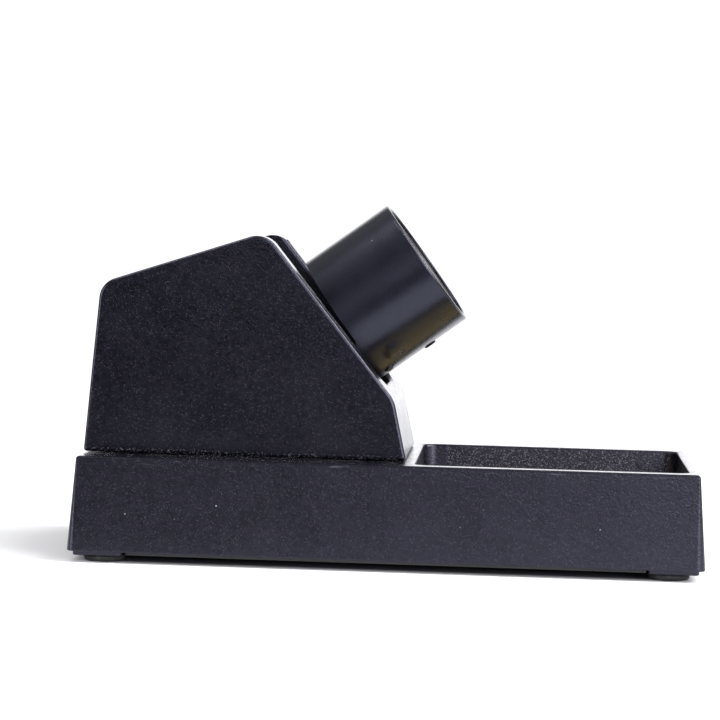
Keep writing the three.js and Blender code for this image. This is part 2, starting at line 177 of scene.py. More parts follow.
def loft(rings):
    """A closed solid through rings of equally many 3-D points, with a flat cap at each end."""
    size = len(rings[0])
    vertices = [p for ring in rings for p in ring]
    faces = []
    for r in range(len(rings) - 1):
        for i in range(size):
            j = (i + 1) % size
            a, b = r * size, (r + 1) * size
            faces.append((a + i, a + j, b + j, b + i))
    faces.append(tuple(reversed(range(size))))
    last = (len(rings) - 1) * size
    faces.append(tuple(range(last, last + size)))
    return mesh_from(vertices, faces)


def rounded_prism(corners, low, high, round_low=0.0, round_high=0.0, slope=0.0, steps=8, edge_steps=4):
    """A prism along z from low to high, its end edges rounded, its walls leaning in by the slope."""
    levels = []
    if round_low:
        levels += [(low + round_low * c, round_low * (1 - s)) for c, s in quarter(edge_steps)]
    else:
        levels.append((low, 0.0))
    if round_high:
        levels += [(high - round_high * (1 - s), round_high * c) for c, s in quarter(edge_steps)]
    else:
        levels.append((high, 0.0))
    rings = []
    for z, inwards in levels:
        outline = rounded_outline(inset(corners, inwards + slope * (z - low)), steps)
        rings.append([(x, y, z) for x, y in outline])
    return loft(rings)


def block(x0, x1, y0, y1, z0, z1):
    centre = (x0 + x1) / 2, (y0 + y1) / 2
    corners = rectangle((x1 - x0) / 2, (y1 - y0) / 2, LEAST_RADIUS, centre)
    return rounded_prism(corners, z0, z1, steps=1)


def ring_faces(a, b):
    """The faces between two rings of vertex numbers; a ring that is a single point repeats its number."""
    for i in range(len(a)):
        j = (i + 1) % len(a)
        face = tuple(dict.fromkeys((a[i], a[j], b[j], b[i])))
        if len(face) > 2:
            yield face


def turned(profile, sides=64, matrix=None):
    """A solid turned about z. Its (radius, z) profile starts and ends on the axis, or is a closed ring."""
    ring_count = len(profile)
    closed = profile[0][0] > 0
    vertices, faces, index = [], [], []
    for radius, z in profile:
        if radius <= 0:
            index.append([len(vertices)] * sides)
            vertices.append((0, 0, z))
        else:
            index.append(list(range(len(vertices), len(vertices) + sides)))
            vertices += [
                (radius * math.cos(2 * math.pi * k / sides), radius * math.sin(2 * math.pi * k / sides), z)
                for k in range(sides)
            ]
    for r in range(ring_count if closed else ring_count - 1):
        faces += ring_faces(index[r], index[(r + 1) % ring_count])
    mesh = mesh_from(vertices, faces)
    if matrix is not None:
        mesh.transform(matrix)
    return mesh


def cylinder(radius, low, high, sides=32, matrix=None):
    return turned([(0, low), (radius, low), (radius, high), (0, high)], sides, matrix)


def at(x, y, z=0.0):
    return Matrix.Translation((x, y, z))


def moved(mesh, matrix):
    mesh.transform(matrix)
    if matrix.determinant() < 0:
        mesh.flip_normals()
    return mesh


TO_X = Matrix(((0, 0, 1, 0), (1, 0, 0, 0), (0, 1, 0, 0), (0, 0, 0, 1)))      # z becomes x
TO_Y = Matrix(((0, 1, 0, 0), (0, 0, 1, 0), (1, 0, 0, 0), (0, 0, 0, 1)))      # z becomes y


def combined(mesh, others, operation):
    """The mesh with each of the others taken away from it, or added to it."""
    target = bpy.data.objects.new("target", mesh)
    bpy.context.scene.collection.objects.link(target)
    for other in others:
        tool = bpy.data.objects.new("tool", other)
        bpy.context.scene.collection.objects.link(tool)
        modifier = target.modifiers.new("combine", "BOOLEAN")
        modifier.operation = operation
        modifier.solver = "EXACT"
        modifier.object = tool
        evaluated = target.evaluated_get(bpy.context.evaluated_depsgraph_get())
        result = bpy.data.meshes.new_from_object(evaluated)
        target.modifiers.clear()
        target.data = result
        bpy.data.objects.remove(tool)
    result = target.data
    bpy.data.objects.remove(target)
    return result


def without(mesh, *cuts):
    return combined(mesh, cuts, "DIFFERENCE")


def joined(mesh, *others):
    return combined(mesh, others, "UNION")


def softened(mesh, width, angle=35, segments=2, keep=None):
    """Rounds the mesh's sharp edges, or those of them that keep(midpoint) picks."""
    bm = bmesh.new()
    bm.from_mesh(mesh)
    bmesh.ops.remove_doubles(bm, verts=bm.verts, dist=1e-4)
    bmesh.ops.dissolve_limit(bm, angle_limit=math.radians(0.5), verts=bm.verts, edges=bm.edges)
    sharp = [
        e for e in bm.edges
        if len(e.link_faces) == 2
        and e.calc_face_angle() > math.radians(angle)
        and (keep is None or keep((e.verts[0].co + e.verts[1].co) / 2))
    ]
    bmesh.ops.bevel(
        bm, geom=sharp, offset=width, segments=segments, profile=0.5, affect="EDGES", clamp_overlap=True,
        harden_normals=False,
    )
    result = bpy.data.meshes.new("softened")
    bm.to_mesh(result)
    bm.free()
    return result


def piece(name, mesh, body, material, matrix=None, smooth=38, even=True):
    """Turns a mesh in millimetres into a piece that rides on a body and stands for its CAD node."""
    if matrix is not None:
        moved(mesh, matrix)
    mesh.transform(Matrix.Scale(MM, 4))
    mesh.name = name
    mesh.materials.clear()
    mesh.materials.append(material)
    mesh.shade_smooth()
    mesh.set_sharp_from_angle(angle=math.radians(smooth))
    obj = bpy.data.objects.new(name, mesh)
    bpy.context.scene.collection.objects.link(obj)
    if even:
        modifier = obj.modifiers.new("even_normals", "WEIGHTED_NORMAL")
        modifier.keep_sharp = True
        modifier.weight = 80
    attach(obj, body)
    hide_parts(name)
    return obj


# ------------------------------------------------------------------ camera

CAMERA_PLACE = Vector((0.0357, -0.7307, 0.0933))
CAMERA_YAW = math.radians(-3.582)              # to the left of +Y
CAMERA_PITCH = math.radians(3.062)             # downwards
CAMERA_ROLL = math.radians(1.478)
CAMERA_LENS = 131.34


def make_camera():
    data = bpy.data.cameras.new("camera")
    data.lens = CAMERA_LENS
    data.sensor_width = 36
    data.clip_start = 0.05
    data.clip_end = 50
    camera = bpy.data.objects.new("camera", data)
    forward = Vector((
        math.sin(CAMERA_YAW) * math.cos(CAMERA_PITCH),
        math.cos(CAMERA_YAW) * math.cos(CAMERA_PITCH),
        -math.sin(CAMERA_PITCH),
    ))
    level_right = Vector((math.cos(CAMERA_YAW), -math.sin(CAMERA_YAW), 0))
    level_up = level_right.cross(forward)
    right = level_right * math.cos(CAMERA_ROLL) + level_up * math.sin(CAMERA_ROLL)
    up = level_up * math.cos(CAMERA_ROLL) - level_right * math.sin(CAMERA_ROLL)
    camera.matrix_world = place(CAMERA_PLACE, right, up, -forward)
    bpy.context.scene.collection.objects.link(camera)
    bpy.context.scene.camera = camera


make_camera()
bpy.context.scene.view_settings.view_transform = "Standard"

# ------------------------------------------------------------------ shader nodes

MIX_FACTOR, MIX_A, MIX_B, MIX_RESULT = 0, 6, 7, 2  # the colour sockets of a mix node


class Nodes:
    """Makes nodes in a tree; an input is either a value or another node's output."""

    def __init__(self, tree):
        self.tree = tree

    def node(self, kind, inputs=None, **properties):
        node = self.tree.nodes.new(kind)
        for key, value in properties.items():
            setattr(node, key, value)
        for key, value in (inputs or {}).items():
            if isinstance(value, bpy.types.NodeSocket):
                self.tree.links.new(value, node.inputs[key])
            else:
                node.inputs[key].default_value = value
        return node

    def math(self, operation, a, b=0.0):
        return self.node("ShaderNodeMath", {0: a, 1: b}, operation=operation).outputs[0]

    def product(self, first, *others):
        for other in others:
            first = self.math("MULTIPLY", first, other)
        return first

    def range(self, value, low, high, to_low, to_high, **properties):
        return self.node(
            "ShaderNodeMapRange",
            {"Value": value, "From Min": low, "From Max": high, "To Min": to_low, "To Max": to_high},
            **properties,
        ).outputs["Result"]

    def smooth_range(self, *values):
        return self.range(*values, interpolation_type="SMOOTHSTEP")


class Material(Nodes):
    """A node material whose textures run in the row frame, in metres."""

    def __init__(self, name):
        self.material = bpy.data.materials.new(name)
        self.material.use_nodes = True
        super().__init__(self.material.node_tree)
        self.shader = self.tree.nodes["Principled BSDF"]
        self.coordinates = self.node("ShaderNodeTexCoord").outputs["Object"]
        self.place = self.node("ShaderNodeSeparateXYZ", {"Vector": self.coordinates}).outputs

    def set(self, **values):
        for key, value in values.items():
            self.shader.inputs[key.replace("_", " ")].default_value = value

    def wire(self, **sockets):
        for key, socket in sockets.items():
            self.tree.links.new(socket, self.shader.inputs[key.replace("_", " ")])

    def stretched(self, scale):
        return self.node("ShaderNodeMapping", {"Vector": self.coordinates, "Scale": scale}).outputs[0]

    def noise(self, size, detail=2.0, roughness=0.5, vector=None):
        """Noise whose features are about this many millimetres across."""
        return self.node("ShaderNodeTexNoise", {
            "Vector": vector or self.coordinates,
            "Scale": 1 / (size * MM),
            "Detail": detail,
            "Roughness": roughness,
        }).outputs[0]

    def cells(self, size):
        """Cells about this many millimetres across, each with its own random colour."""
        return self.node("ShaderNodeTexVoronoi", {"Vector": self.coordinates, "Scale": 1 / (size * MM)})

    def specks(self, cells, full, none, rarest, commonest, most=1.0, channel=0):
        """A dot in the middle of each cell, full and none being distances from the middle.

        The cell's random number, between rarest and commonest, sets how strong its dot is.
        """
        chance = self.node("ShaderNodeSeparateColor", {"Color": cells.outputs["Color"]}).outputs[channel]
        return self.product(
            self.range(cells.outputs["Distance"], full, none, 1.0, 0.0),
            self.range(chance, rarest, commonest, 0.0, most),
        )

    def mix(self, factor, a, b):
        inputs = {MIX_FACTOR: factor, MIX_A: a, MIX_B: b}
        return self.node("ShaderNodeMix", data_type="RGBA", inputs=inputs).outputs[MIX_RESULT]

    def bump(self, height, depth, under=None):
        """A bump whose full height range is this many millimetres deep."""
        inputs = {"Height": height, "Strength": 1.0, "Distance": depth * MM}
        if under is not None:
            inputs["Normal"] = under
        return self.node("ShaderNodeBump", inputs).outputs[0]


# ------------------------------------------------------------------ studio

SOFT_WHITE = (0.97, 0.97, 1.0)
WORLD_SEEN = 1.15                              # how bright the camera itself sees the backdrop
WORLD_DIM = 0.04                               # how strongly each part of it lights the object
WORLD_BACK = 2.4
WORLD_ABOVE = 0.45
WORLD_FRONT = 0.7
WORLD_RIGHT = 5.0


def make_world():
    """White to the camera; it lights the object from behind, from above and from the front right."""
    world = bpy.data.worlds.new("studio")
    world.use_nodes = True
    bpy.context.scene.world = world
    world.node_tree.nodes.clear()
    w = Nodes(world.node_tree)
    look = w.node("ShaderNodeTexCoord").outputs["Generated"]
    x, y, z = w.node("ShaderNodeSeparateXYZ", {0: look}).outputs

    def blob(towards, edge, core, strength):
        """A soft round patch of light in one direction; edge and core are angles from its middle."""
        middle = Vector(towards).normalized()
        aim = w.node("ShaderNodeVectorMath", {0: look, 1: middle}, operation="DOT_PRODUCT").outputs["Value"]
        edge, core = (math.cos(math.radians(angle)) for angle in (edge, core))
        return w.smooth_range(aim, edge, core, 0.0, strength)

    backdrop = blob((0.05, 1, 0.05), 36, 20, WORLD_BACK)
    above = blob((-0.25, 0.1, 1), 60, 30, WORLD_ABOVE)
    low = w.smooth_range(z, 0.25, 0.5, 1.0, 0.15)
    in_front = w.smooth_range(y, -0.6, -0.2, 1.0, 0.0)
    front = w.product(in_front, w.smooth_range(z, 0.0, 0.15, 0.0, WORLD_FRONT), low)
    nearer = w.smooth_range(y, -0.2, 0.2, 1.0, 0.0)
    to_the_right = w.smooth_range(x, -0.10, 0.14, 0.0, 1.0)
    right = w.product(nearer, w.smooth_range(z, 0.02, 0.15, 0.0, WORLD_RIGHT), low, to_the_right)
    behind_and_above = w.math("ADD", backdrop, above)
    strength = w.math("ADD", behind_and_above, w.math("ADD", w.math("ADD", front, right), WORLD_DIM))
    seen = w.node("ShaderNodeLightPath").outputs["Is Camera Ray"]
    strength = w.node("ShaderNodeMix", {0: seen, 2: strength, 3: WORLD_SEEN}, data_type="FLOAT").outputs[0]
    background = w.node("ShaderNodeBackground", {"Color": (*SOFT_WHITE, 1), "Strength": strength})
    w.node("ShaderNodeOutputWorld", {"Surface": background.outputs[0]})


FLOOR_R, FLOOR_Y, FLOOR_SIDES = 0.6, 0.38, 96  # a disc, in metres, its middle this far behind
FLOOR_WHITE = (0.92, 0.92, 0.92, 1)
FLOOR_SHADE = (0.10, 0.10, 0.12, 1)
SHADE_INSET, SHADE_FADE = (2, 1), 6            # inside the base's edges, in millimetres


def floor_paint():
    """White, but grey in the narrow gap under the base, where no light reaches."""
    m = Material("floor_white")
    m.set(Roughness=1.0, Specular_IOR_Level=0.0)
    under = []
    for along, half, within in zip(m.place, (BASE_HALF_X, BASE_HALF_Y), SHADE_INSET):
        last = half - within
        under.append(m.range(m.math("ABSOLUTE", along), (last - SHADE_FADE) * MM, last * MM, 1.0, 0.0))
    m.wire(Base_Color=m.mix(m.product(*under), FLOOR_WHITE, FLOOR_SHADE))
    return m.material


def make_floor():
    turns = (math.tau * k / FLOOR_SIDES for k in range(FLOOR_SIDES))
    ring = [(FLOOR_R * math.cos(turn), FLOOR_Y + FLOOR_R * math.sin(turn), 0) for turn in turns]
    mesh = mesh_from(ring, [tuple(range(FLOOR_SIDES))])
    mesh.materials.append(floor_paint())
    floor = bpy.data.objects.new("floor", mesh)
    bpy.context.scene.collection.objects.link(floor)


LIGHTS = (                                     # name, place, point it faces, size, power; metres and watts
    ("main", (0.66, -0.10, 0.90), (0.0, 0.0, 0.03), (0.5, 1.0), 15),
    ("top_left", (-0.46, -0.12, 0.98), (-0.05, 0.0, 0.0), (0.45, 0.2), 2.2),
    ("edge", (0.96, -0.04, 0.75), (0.0, 0.0, 0.05), (0.25, 0.25), 4.5),
    ("right_front", (0.73, -0.93, 0.32), (0.03, 0.0, 0.04), (0.45, 0.5), 4.6),
    ("left_side", (-1.0, -0.55, 0.3), (-0.05, 0.0, 0.05), (0.45, 0.6), 6.0),
)


def area_light(name, where, towards, size, power):
    data = bpy.data.lights.new(name, "AREA")
    data.shape = "RECTANGLE"
    data.size, data.size_y = size
    data.energy = power
    data.color = SOFT_WHITE
    light = bpy.data.objects.new(name, data)
    light.location = where
    light.rotation_euler = (Vector(towards) - Vector(where)).to_track_quat("-Z", "Y").to_euler()
    bpy.context.scene.collection.objects.link(light)


make_world()
make_floor()
for light in LIGHTS:
    area_light(*light)

# ------------------------------------------------------------------ materials


def coated_casting():
    """Black paint on a fine-grained casting, with dust and painted glints along the tower's joint, painted
    glints on the tray's walls, and scuffs on the edges.
    """
    m = Material("cast_black")
    m.set(Specular_IOR_Level=0.45, IOR=1.5, Specular_Tint=(0.77, 0.76, 1.0, 1))
    grain = m.noise(0.5, detail=2, roughness=0.6)
    lumps = m.noise(1.6, detail=2, roughness=0.5)
    swell = m.noise(14, detail=1, roughness=0.5)
    place_x, place_y, place_z = m.place
    beside = m.math("ABSOLUTE", place_y)

    def between(value, low, high, blur=0.6):
        """One between two places, in millimetres, and none beyond them."""
        return m.product(
            m.range(value, (low - blur) * MM, low * MM, 0.0, 1.0),
            m.range(value, high * MM, (high + blur) * MM, 1.0, 0.0),
        )

    # where dust and painted glints go: the strip of deck along the tower's foot
    joint = m.product(
        between(place_z, DECK - 0.8, DECK + 1.2),
        between(beside, TOWER_HALF_FOOT - 1.3, TOWER_HALF_FOOT + 1.7),
        between(place_x, -84, 6),
    )
    # where painted glints go: the tray's side walls
    tray = m.product(
        between(beside, TRAY_HALF_Y - 0.8, TRAY_HALF_Y + 1.6),
        between(place_x, TRAY_X0 + 7.2, TRAY_X1 - 0.1),
        between(place_z, TRAY_FLOOR - 0.4, DECK - 0.8),
    )
    edge = m.product(between(place_z, DECK - 1.4, DECK + 0.2), between(beside, 38, 42, blur=0.3))

    flecks = m.cells(0.5)
    fleck = m.specks(flecks, 0.12, 0.42, 0.25, 1.0, most=0.8)
    # pale specks, partly dust and partly painted glints
    dust_and_glints = m.product(m.math("MAXIMUM", joint, tray), m.specks(m.cells(0.42), 0.15, 0.5, 0.35, 1.0))
    streaks = m.noise(1.2, detail=3, roughness=0.6, vector=m.stretched((0.12, 1, 1)))
    scuff = m.product(edge, m.range(streaks, 0.62, 0.72, 0.0, 0.22))
    dust = m.specks(m.cells(2.6), 0.05, 0.11, 0.955, 0.985, channel=1)

    darkest, lightest = (0.0004, 0.0004, 0.0010, 1), (0.0022, 0.0022, 0.0045, 1)
    paint = m.mix(m.range(lumps, 0.35, 0.65, 0.0, 1.0), darkest, lightest)
    faint = m.mix(0.86, flecks.outputs["Color"], (0, 0, 0, 1))
    speckled = m.mix(fleck, paint, m.mix(0.8, faint, (0.027, 0.026, 0.042, 1)))
    # lighter colour of the scuffs, and of the dust and painted glints
    worn_and_glinting = m.mix(m.math("MAXIMUM", dust_and_glints, scuff), speckled, (0.17, 0.17, 0.20, 1))
    m.wire(Base_Color=m.mix(dust, worn_and_glinting, (0.24, 0.24, 0.27, 1)))
    m.wire(Roughness=m.range(m.math("ADD", lumps, swell), 0.7, 1.3, 0.20, 0.27))
    m.wire(Normal=m.bump(grain, 0.05, m.bump(lumps, 0.022, m.bump(swell, 0.05))))
    return m.material


def satin_tube():
    m = Material("tube_black")
    m.set(Specular_IOR_Level=0.5, IOR=1.5, Specular_Tint=(0.74, 0.78, 1.0, 1))
    peel = m.noise(1.3, detail=1, roughness=0.4)
    fine = m.noise(0.4, detail=1, roughness=0.5)
    cloud = m.noise(9, detail=2, roughness=0.5)
    dust = m.specks(m.cells(2.2), 0.05, 0.10, 0.93, 0.97)
    base = m.mix(cloud, (0.0022, 0.0024, 0.0050, 1), (0.0045, 0.0046, 0.0080, 1))
    m.wire(Base_Color=m.mix(dust, base, (0.25, 0.25, 0.28, 1)))
    m.wire(Roughness=m.range(cloud, 0.3, 0.7, 0.25, 0.30))
    m.wire(Normal=m.bump(fine, 0.010, m.bump(peel, 0.010)))
    return m.material


def black_plate():
    m = Material("plate_black")
    m.set(Specular_IOR_Level=0.5)
    fine = m.noise(0.5, detail=3, roughness=0.6)
    streak = m.noise(2.0, detail=2, roughness=0.5, vector=m.stretched((0.08, 1, 1)))
    m.wire(Base_Color=m.mix(streak, (0.014, 0.014, 0.015, 1), (0.026, 0.026, 0.028, 1)))
    m.wire(Roughness=m.range(streak, 0.3, 0.7, 0.45, 0.62))
    m.wire(Normal=m.bump(fine, 0.008, m.bump(streak, 0.006)))
    return m.material


def plated_steel(name, light, dark, roughness):
    m = Material(name)
    m.set(Metallic=1.0)
    stain = m.noise(1.4, detail=3, roughness=0.6)
    scratch = m.noise(0.12, detail=2, roughness=0.6, vector=m.stretched((1, 0.1, 1)))
    m.wire(Base_Color=m.mix(m.range(stain, 0.3, 0.7, 0, 1), light, dark))
    m.wire(Roughness=m.range(stain, 0.25, 0.75, roughness - 0.08, roughness + 0.14))
    m.wire(Normal=m.bump(scratch, 0.004))
    return m.material


def phenolic():
    m = Material("ring_phenolic")
    fibre = m.noise(0.7, detail=3, roughness=0.7, vector=m.stretched((1, 0.25, 1)))
    m.wire(Base_Color=m.mix(fibre, (0.016, 0.012, 0.009, 1), (0.034, 0.027, 0.02, 1)))
    m.wire(Roughness=m.range(fibre, 0.3, 0.7, 0.38, 0.6))
    m.wire(Normal=m.bump(fibre, 0.012))
    return m.material


def rubber():
    m = Material("foot_rubber")
    m.set(Specular_IOR_Level=0.35)
    skin = m.noise(0.3, detail=3, roughness=0.6)
    dust = m.noise(2.5, detail=3, roughness=0.6)
    clean, dusty = (0.011, 0.011, 0.012, 1), (0.045, 0.044, 0.042, 1)
    m.wire(Base_Color=m.mix(m.range(dust, 0.5, 0.8, 0, 1), clean, dusty))
    m.wire(Roughness=m.range(dust, 0.3, 0.7, 0.7, 0.9))
    m.wire(Normal=m.bump(skin, 0.012))
    return m.material


def cellulose():
    m = Material("sponge_yellow")
    m.set(Specular_IOR_Level=0.25, Subsurface_Weight=0.15, Subsurface_Scale=0.002)
    m.shader.inputs["Subsurface Radius"].default_value = (1.0, 0.7, 0.3)
    pores = m.cells(0.9)
    web = m.noise(0.35, detail=4, roughness=0.65)
    patch = m.noise(7, detail=3, roughness=0.6)
    # painted shade: the middle of each pore is coloured darker, as if shaded in its hollow
    deep = m.range(pores.outputs["Distance"], 0.1, 0.45, 1.0, 0.0)
    body = m.mix(m.range(patch, 0.35, 0.65, 0, 1), (0.62, 0.47, 0.19, 1), (0.70, 0.55, 0.25, 1))
    m.wire(Base_Color=m.mix(m.math("MULTIPLY", deep, 0.45), body, (0.45, 0.29, 0.08, 1)))
    m.wire(Roughness=m.range(web, 0.3, 0.7, 0.85, 1.0))
    m.wire(Normal=m.bump(web, 0.12, m.bump(pores.outputs["Distance"], 0.35)))
    return m.material


CAST = coated_casting()
TUBE = satin_tube()
PLATE = black_plate()
ZINC = plated_steel("screw_zinc", (0.66, 0.67, 0.69, 1), (0.50, 0.50, 0.50, 1), 0.30)
OXIDE = plated_steel("screw_dark", (0.025, 0.025, 0.03, 1), (0.05, 0.048, 0.047, 1), 0.42)
PHENOLIC = phenolic()
RUBBER = rubber()
SPONGE = cellulose()

# ------------------------------------------------------------------ base casting


def base_casting():
    """A box, hollow from below, with a tray sunk in its front half and a pad at each lower corner."""
    corners = rectangle(BASE_HALF_X, BASE_HALF_Y, BASE_CORNER)
    shell = rounded_prism(corners, BASE_BOTTOM, DECK, 0.35, 0.8, BASE_DRAFT, steps=8, edge_steps=5)

    flare = 0.75
    floor_round = 2.0
    half_x = (TRAY_X1 - TRAY_X0) / 2 - flare / 2
    half_y = TRAY_HALF_Y - flare / 2
    levels = [(TRAY_FLOOR + floor_round * c, floor_round * (1 - s)) for c, s in quarter(6)]
    levels += [(DECK - flare * (1 - s), -flare * c) for c, s in quarter(6)[:-1]]
    last_z, last_in = levels[-1]
    before_z, before_in = levels[-2]
    slope = (last_in - before_in) / (last_z - before_z)
    levels.append((last_z + 0.5, last_in + slope * 0.5))
    tray = rectangle(half_x, half_y, TRAY_CORNER, (TRAY_MID_X, 0))
    rings = []
    for z, inwards in levels:
        outline = rounded_outline(inset(tray, inwards + TRAY_DRAFT * (DECK - z)), 8)
        rings.append([(x, y, z) for x, y in outline])
    shell = without(shell, loft(rings))

    for rib_x, rib_y in ((half_x - 1.5, RIB_HALF), (RIB_HALF, half_y - 1.5)):
        outline = rectangle(rib_x, rib_y, 0.7, (TRAY_MID_X, 0))
        rib = rounded_prism(outline, TRAY_FLOOR - 1, TRAY_FLOOR + RIB_HEIGHT, 0, 0.6, 0.03, 4, 3)
        shell = joined(shell, rib)

    inner = rectangle(BASE_HALF_X - WALL, BASE_HALF_Y - WALL, 1.5)
    hollow = rounded_prism(inner, BASE_BOTTOM - 0.5, DECK - WALL, 0, 1.2, BASE_DRAFT, 4, 3)
    around_tray = block(TRAY_X0 - WALL, 90, -45, 45, TRAY_FLOOR - 2.5, 40)
    hollow = without(hollow, around_tray)
    shell = without(shell, hollow)

    low = BASE_BOTTOM
    for _, sx in ENDS:
        for _, sy in SIDES:
            outline = rectangle(PAD_SIDE / 2, PAD_SIDE / 2, 1.2, (sx * PAD_X, sy * PAD_Y))
            pad = rounded_prism(outline, low - PAD_DROP, low + 4, 0.3, 0, 0, 4, 3)
            top = DECK - WALL + 1 if sx < 0 else TRAY_FLOOR - 1.5
            post = [(0, low), (3.2, low), (3.5, low + 0.3), (3.5, top), (0, top)]
            foot_place = at(sx * FOOT_X, sy * FOOT_Y)
            screw_place = at(sx * PLATE_SCREW_X, sy * PLATE_SCREW_Y)
            shell = joined(shell, pad, turned(post, 32, screw_place))
            foot_hole = cylinder(2.2, 0, low + 3, matrix=foot_place)
            screw_hole = cylinder(1.6, 0, low + 4.2, matrix=screw_place)
            shell = without(shell, foot_hole, screw_hole)
    for x in TOWER_SCREW_X:
        for _, sy in SIDES:
            hole = cylinder(2.3, DECK - WALL - 1, DECK + 1, matrix=at(x, sy * TOWER_SCREW_Y))
            shell = without(shell, hole)
    return shell


piece("base_casting", base_casting(), "stand", CAST)

# ------------------------------------------------------------------ underside


def bottom_plate():
    """A sheet that closes the base between its corner pads, with four sunk screw holes."""
    half_x, half_y = BASE_HALF_X - 4, BASE_HALF_Y - 4
    in_x, in_y = PAD_X - PAD_SIDE / 2 - 0.5, PAD_Y - PAD_SIDE / 2 - 0.5
    low, high = BASE_BOTTOM - PAD_DROP, BASE_BOTTOM - 0.2
    sheet = rounded_prism(rectangle(half_x, half_y, 2), low, high, 0.2, 0.2, 0, 6, 2)
    for _, sx in ENDS:
        for _, sy in SIDES:
            outline = rectangle(10, 10, 1.2, (sx * (in_x + 10), sy * (in_y + 10)))
            notch = rounded_prism(outline, low - 1, high + 1, steps=6)
            sunk = [(0, low - 1), (2.4, low - 1), (1.6, low + 0.35), (1.6, high + 1), (0, high + 1)]
            hole = turned(sunk, 40, at(sx * PLATE_SCREW_X, sy * PLATE_SCREW_Y))
            sheet = without(sheet, notch, hole)
    return sheet


THREAD_DEPTH = 0.32                            # in pitches
LEVELS_PER_TURN = 6


def screw(head, shank_r, z0, z1, tip=0.4, sides=32, pitch=0.5, *, recess):
    """A screw along z, with a cross recess.

    Head is its profile from the axis to the shank, below the thread. Recess gives the length of the
    cross's arm and the heights of its floor and of its mouth.
    """
    levels = [("plain", r, z) for r, z in head]
    count = max(8, int((z1 - tip - z0) / pitch * LEVELS_PER_TURN))
    for k in range(count + 1):
        levels.append(("thread", shank_r, z0 + (z1 - tip - z0) * k / count))
    levels += [("plain", shank_r - tip, z1), ("plain", 0, z1)]
    vertices, faces, index = [], [], []
    depth = pitch * THREAD_DEPTH
    for kind, radius, z in levels:
        if radius <= 0:
            index.append([len(vertices)] * sides)
            vertices.append((0, 0, z))
            continue
        index.append(list(range(len(vertices), len(vertices) + sides)))
        for k in range(sides):
            angle = 2 * math.pi * k / sides
            r = radius
            if kind == "thread":
                fade = min(1, (z - z0) / pitch, (z1 - tip - z) / (pitch * 0.8) + 0.15)
                phase = (z / pitch - k / sides) % 1
                r -= depth * (1 - abs(2 * phase - 1)) * max(0, fade)
            vertices.append((r * math.cos(angle), r * math.sin(angle), z))
    for a, b in zip(index, index[1:]):
        faces += ring_faces(a, b)
    mesh = mesh_from(vertices, faces)
    arm, floor_z, mouth_z = recess
    slit, slit_at_floor = 0.42, 0.3
    corners = ((-1, -1), (1, -1), (1, 1), (-1, 1))
    cuts = []
    for wide, narrow in ((arm, slit), (slit, arm)):
        floor_wide, floor_narrow = min(wide, arm * 0.45), min(narrow, slit_at_floor)
        mouth = [(x * wide, y * narrow, mouth_z - 0.2) for x, y in corners]
        floor = [(x * floor_wide, y * floor_narrow, floor_z) for x, y in corners]
        cuts.append(loft([mouth, floor]))
    return without(mesh, *cuts)


def pan_head(radius, height, shank_r):
    """Profile of a domed head from z = -height up to the shank at z = 0."""
    widest = math.radians(80)
    points = [(0, -height)]
    for k in range(1, 8):
        angle = k / 7 * widest
        out = radius * math.sin(angle) / math.sin(widest) * 0.985
        up = height * 0.72 * (1 - math.cos(angle)) / (1 - math.cos(widest))
        points.append((out, -height + up))
    points += [(radius, -height * 0.22), (radius, -0.12), (radius - 0.12, 0), (shank_r, 0)]
    return points


def rubber_foot():
    top = BASE_BOTTOM - PAD_DROP - 0.2
    profile = [
        (0, 0.35), (1.5, 0.35), (1.8, 0.25), (2.0, 0.06), (2.2, 0.0), (4.4, 0.0),
        (4.9, 0.07), (5.3, 0.28), (5.52, 0.6), (FOOT_R, 0.95), (FOOT_R, 1.25),
        (5.5, top - 0.12), (5.35, top), (2.3, top), (1.9, top + 0.3), (1.9, top + 1.2),
        (2.05, top + 1.6), (1.9, top + 2.0), (1.7, top + 3.2), (1.3, top + 3.6), (0, top + 3.6),
    ]
    return turned(profile, 72)


piece("bottom_plate", bottom_plate(), "stand", PLATE)

for (end, sx), tower_screw_x in zip(ENDS, TOWER_SCREW_X):
    for side, sy in SIDES:
        spot = f"{end}_{side}"
        turn = Matrix.Rotation(random.Random(spot).uniform(0, math.pi / 2), 4, "Z")
        piece(f"rubber_foot_{spot}", rubber_foot(), "stand", RUBBER,
              matrix=at(sx * FOOT_X, sy * FOOT_Y), even=False)
        below = screw(pan_head(2.8, 1.0, 1.3), 1.3, 0, 4.6, recess=(1.5, -0.35, -1.0))
        piece(f"plate_screw_{spot}", below, "stand", ZINC, even=False,
              matrix=at(sx * PLATE_SCREW_X, sy * PLATE_SCREW_Y, BASE_BOTTOM - PAD_DROP - 0.1) @ turn)
        held = screw(pan_head(3.4, 2.2, 1.7), 1.7, 0, 11, recess=(1.9, -0.8, -2.2), pitch=0.7)
        piece(f"tower_screw_{spot}", held, "stand", ZINC, even=False,
              matrix=at(tower_screw_x, sy * TOWER_SCREW_Y, DECK - WALL - 0.2) @ turn)

# ------------------------------------------------------------------ tower


def across(corners, half_width, edge, steps):
    """A side outline (x, z) stretched across the stand, its two end edges rounded."""
    if edge:
        levels = [(-half_width + edge * c, edge * (1 - s)) for c, s in quarter(6)]
    else:
        levels = [(-half_width, 0.0)]
    levels += [(-y, inwards) for y, inwards in reversed(levels)]
    rings = []
    for y, inwards in levels:
        rings.append([(x, y, z) for x, z in rounded_outline(inset(corners, inwards), steps)])
    return loft(rings)


def lean(mesh):
    """The cheeks close in from the foot to the crest."""
    rate = (TOWER_HALF_FOOT - TOWER_HALF_TOP) / (TOWER_TOP - TOWER_FOOT) / TOWER_HALF_FOOT
    for vertex in mesh.vertices:
        vertex.co.y *= 1 - rate * (vertex.co.z - TOWER_FOOT)
    return mesh


